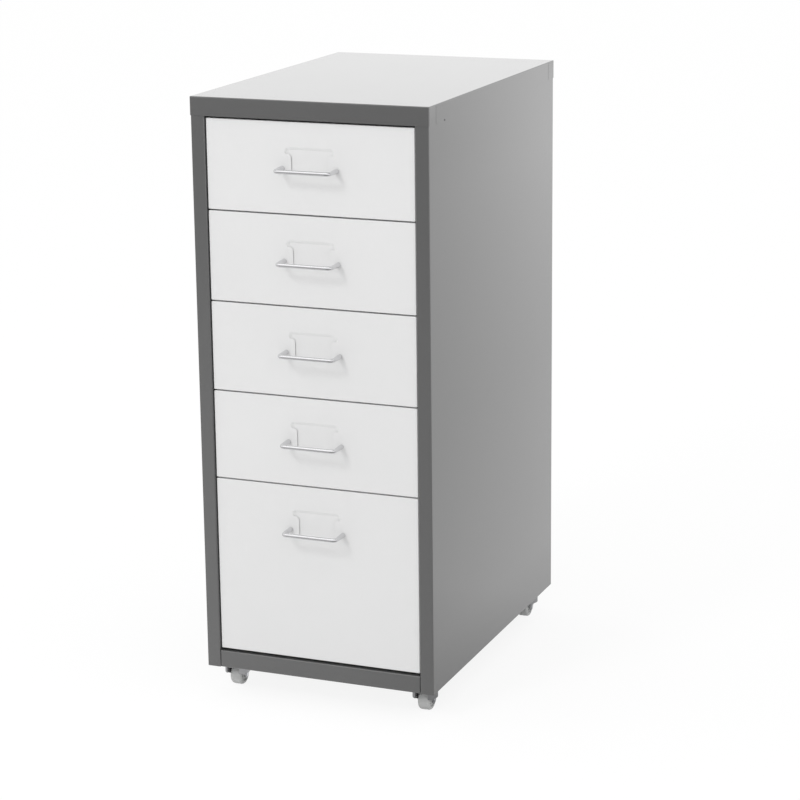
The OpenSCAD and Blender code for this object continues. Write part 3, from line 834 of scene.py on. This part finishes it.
def softened(node, slot_name, width):
    """Copy of a CAD node whose sharp edges are rounded, for rigid pieces with true shapes."""
    bm = bmesh.new()
    bm.from_mesh(frame["nodes"][node].data)
    bmesh.ops.remove_doubles(bm, verts=bm.verts, dist=CAD_WELD)
    bmesh.ops.dissolve_limit(bm, angle_limit=FLAT_ANGLE, verts=bm.verts, edges=bm.edges,
                             delimit=set())
    made = finish_mesh(bm, node + "_skin", slot_name, width)
    stand_for(made, slot_name, node)


make_camera()
lid()
for side in (-1, 1):
    side_panel(side)
rail()
for i in DRAWERS:
    drawer_front(i)
    handle(i)
    handle_screws(i)
body_screws()
for corner in CORNERS:
    wheel(corner)
    for part, (finish, width) in CASTER_FINISH.items():
        softened(f"caster_{corner}_{part}", finish, width)
for node in ("back_panel", "base_panel"):
    softened(node, "grey_paint", EDGE)
for row in frame["record"]["subparts"]:
    node = frame["nodes"][row["node"]]
    node.data.materials.clear()
    node.data.materials.append(SLOT_MATERIAL[row["material_slot"]])

# ---------------------------------------------------------------- stage and light

WHITE = grey(1.0)
FLOOR_HALF = 14.0
FLOOR_COLOUR = grey(0.92)
FLOOR_GLOW = 1.05
# Share of the floor's white that isn't lit, so that the rest shows the object's shadow
FLOOR_GLOW_SHARE = 0.83
WORLD_FILL = 0.795
WORLD_WHITE = 1.03
CARD_WHITE = 1.04
# Point of the front that the lamps shine on
AIM = Vector((0.0, -0.19, 0.45))
ALONG_X, ALONG_Y = (1.0, 0.0, 0.0), (0.0, 1.0, 0.0)
SIDE_TURN = radians(20)
ACROSS_SIDE = (cos(SIDE_TURN), -sin(SIDE_TURN), 0.0)
FRONT_TURN = radians(24)
ACROSS_FRONT = (-cos(FRONT_TURN), sin(FRONT_TURN), 0.0)


def cleared_tree(owner):
    """Node tree of a new material or world, without its first nodes."""
    owner.use_nodes = True
    owner.node_tree.nodes.clear()
    return owner.node_tree


def math_node(tree, operation, first, second):
    """Result of a Math node; second is an output or a number."""
    made = tree.nodes.new("ShaderNodeMath")
    made.operation = operation
    tree.links.new(first, made.inputs[0])
    if isinstance(second, float):
        made.inputs[1].default_value = second
    else:
        tree.links.new(second, made.inputs[1])
    return made.outputs[0]


def product(tree, outputs):
    made = outputs[0]
    for output in outputs[1:]:
        made = math_node(tree, "MULTIPLY", made, output)
    return made


def white_rays(tree):
    """1 for camera, glossy and transmission rays, which see plain white, and else 0."""
    path = tree.nodes.new("ShaderNodeLightPath")
    seen = math_node(tree, "MAXIMUM", path.outputs["Is Camera Ray"], path.outputs["Is Glossy Ray"])
    return math_node(tree, "MAXIMUM", seen, path.outputs["Is Transmission Ray"])


def mixed_surface(tree, factor, plain, white, out_kind):
    """Joins two shaders by a factor and ends the tree with them."""
    mix = tree.nodes.new("ShaderNodeMixShader")
    for index, output in enumerate((factor, plain, white)):
        tree.links.new(output, mix.inputs[index])
    out = tree.nodes.new(out_kind)
    tree.links.new(mix.outputs[0], out.inputs["Surface"])


def make_floor():
    """Floor that is white for the rays of white_rays, with part of its true lit surface, so
    that the shadow stays."""
    bm = bmesh.new()
    corners = floor_corners(-FLOOR_HALF, FLOOR_HALF, -FLOOR_HALF, FLOOR_HALF, 0.0)
    bm.faces.new([bm.verts.new(corner) for corner in corners])
    floor = new_object(bm, "floor")
    material = bpy.data.materials.new("floor_white")
    tree = cleared_tree(material)
    lit = add_node(tree, "ShaderNodeBsdfDiffuse", Color=FLOOR_COLOUR)
    glow = add_node(tree, "ShaderNodeEmission", Color=WHITE, Strength=FLOOR_GLOW)
    share = math_node(tree, "MULTIPLY", white_rays(tree), FLOOR_GLOW_SHARE)
    mixed_surface(tree, share, lit.outputs[0], glow.outputs[0], "ShaderNodeOutputMaterial")
    floor.data.materials.append(material)


def make_world():
    world = bpy.data.worlds.new("studio")
    bpy.context.scene.world = world
    tree = cleared_tree(world)
    fill = add_node(tree, "ShaderNodeBackground", Color=WHITE, Strength=WORLD_FILL)
    white = add_node(tree, "ShaderNodeBackground", Color=WHITE, Strength=WORLD_WHITE)
    mixed_surface(tree, white_rays(tree), fill.outputs[0], white.outputs[0],
                  "ShaderNodeOutputWorld")


def softbox(name, toward, distance, size, power):
    """Square lamp that shines on the front from the given direction."""
    data = bpy.data.lights.new(name, "AREA")
    data.shape = "RECTANGLE"
    data.size, data.size_y = size, size
    data.energy = power
    lamp = bpy.data.objects.new(name, data)
    place = AIM + distance * Vector(toward).normalized()
    lamp.location = place
    lamp.rotation_mode = "QUATERNION"
    lamp.rotation_quaternion = (AIM - place).to_track_quat("-Z", "Y")
    lamp.visible_glossy = False
    bpy.context.scene.collection.objects.link(lamp)


def ramp_node(tree, place, along, start, end, low, high):
    """Value that runs from low at start to high at end, along a direction."""
    far = tree.nodes.new("ShaderNodeVectorMath")
    far.operation = "DOT_PRODUCT"
    far.inputs[1].default_value = along
    tree.links.new(place.outputs["Object"], far.inputs[0])
    ramp = add_node(tree, "ShaderNodeMapRange", From_Min=start, From_Max=end, To_Min=low,
                    To_Max=high)
    tree.links.new(far.outputs["Value"], ramp.inputs["Value"])
    return ramp.outputs["Result"]


def card(name, corners, level=1.0, ramps=(), fades=()):
    """Board of the studio that only reflections see, with one level or with the product of
    its ramps, which goes over to the floor's white where the fades fall to 0."""
    bm = bmesh.new()
    bm.faces.new([bm.verts.new(corner) for corner in corners])
    made = new_object(bm, name)
    material = bpy.data.materials.new(name)
    tree = cleared_tree(material)
    glow = add_node(tree, "ShaderNodeEmission", Color=WHITE, Strength=level)
    if ramps:
        place = tree.nodes.new("ShaderNodeTexCoord")
        blend = add_node(tree, "ShaderNodeMapRange", To_Min=CARD_WHITE)
        for socket, rows in (("Value", fades), ("To Max", ramps)):
            tree.links.new(product(tree, [ramp_node(tree, place, *row) for row in rows]),
                           blend.inputs[socket])
        tree.links.new(blend.outputs["Result"], glow.inputs["Strength"])
    out = tree.nodes.new("ShaderNodeOutputMaterial")
    tree.links.new(glow.outputs[0], out.inputs["Surface"])
    made.data.materials.append(material)
    made.visible_camera = False
    made.visible_diffuse = False
    made.visible_shadow = False
    made.visible_transmission = False
    made.visible_volume_scatter = False


def floor_corners(lo_x, hi_x, lo_y, hi_y, z):
    return [(lo_x, lo_y, z), (hi_x, lo_y, z), (hi_x, hi_y, z), (lo_x, hi_y, z)]


# The boards' levels were matched to the photograph from its own viewpoint. A ramp or fade is
# (direction, start, end, value at start, value at end), in metres from the frame's origin.
SEAM_X, SEAM_Y = -0.16, -0.24
LEFT_END, LEFT_FADE = -4.2, -3.4
LOW_Z, LOW_Z_RIGHT, HIGH_Z = 0.002, 0.003, 2.9
HIGH_SEAM_Y = -0.6
FRONT_LEVEL, FRONT_GAIN = 0.38, 1.8

make_floor()
make_world()
softbox("key", toward=(-9, -22, 19), distance=3.2, size=0.75, power=17.5)
softbox("front", toward=(-7, -22, 8), distance=3.0, size=0.8, power=5.0)
card("card_before_front", floor_corners(LEFT_END, 1.6, -7.0, SEAM_Y, LOW_Z),
     ramps=[(ALONG_Y, -3.3, -0.3, 0.10, FRONT_LEVEL),
            (ACROSS_FRONT, -0.22, 0.06, 1.0, FRONT_GAIN)],
     fades=[(ALONG_X, LEFT_END, LEFT_FADE, 0.0, 1.0), (ALONG_X, 1.0, 1.6, 1.0, 0.0)])
card("card_beside_left", floor_corners(LEFT_END, SEAM_X, SEAM_Y, 2.0, LOW_Z),
     ramps=[(ALONG_Y, SEAM_Y, 2.0, FRONT_LEVEL * FRONT_GAIN, CARD_WHITE)],
     fades=[(ALONG_X, LEFT_END, LEFT_FADE, 0.0, 1.0)])
card("card_beside_right", floor_corners(SEAM_X, 3.2, SEAM_Y, 6.5, LOW_Z_RIGHT),
     ramps=[(ACROSS_SIDE, -0.03, 0.283, 1.10, 0.72), (ALONG_X, 0.6, 1.32, 0.82, 1.0),
            (ALONG_X, 0.14, 0.23, 0.84, 1.0), (ALONG_Y, -0.2, 0.25, 0.68, 1.0)],
     fades=[(ALONG_X, SEAM_X, 0.1, 0.0, 1.0), (ALONG_X, 1.6, 3.0, 1.0, 0.0)])
card("card_softbox", floor_corners(-3.0, 1.5, -3.0, HIGH_SEAM_Y, HIGH_Z), level=1.6)
card("card_overhead", floor_corners(-3.0, 3.0, HIGH_SEAM_Y, 3.0, HIGH_Z), level=0.45)
bpy.context.scene.view_settings.view_transform = "Standard"
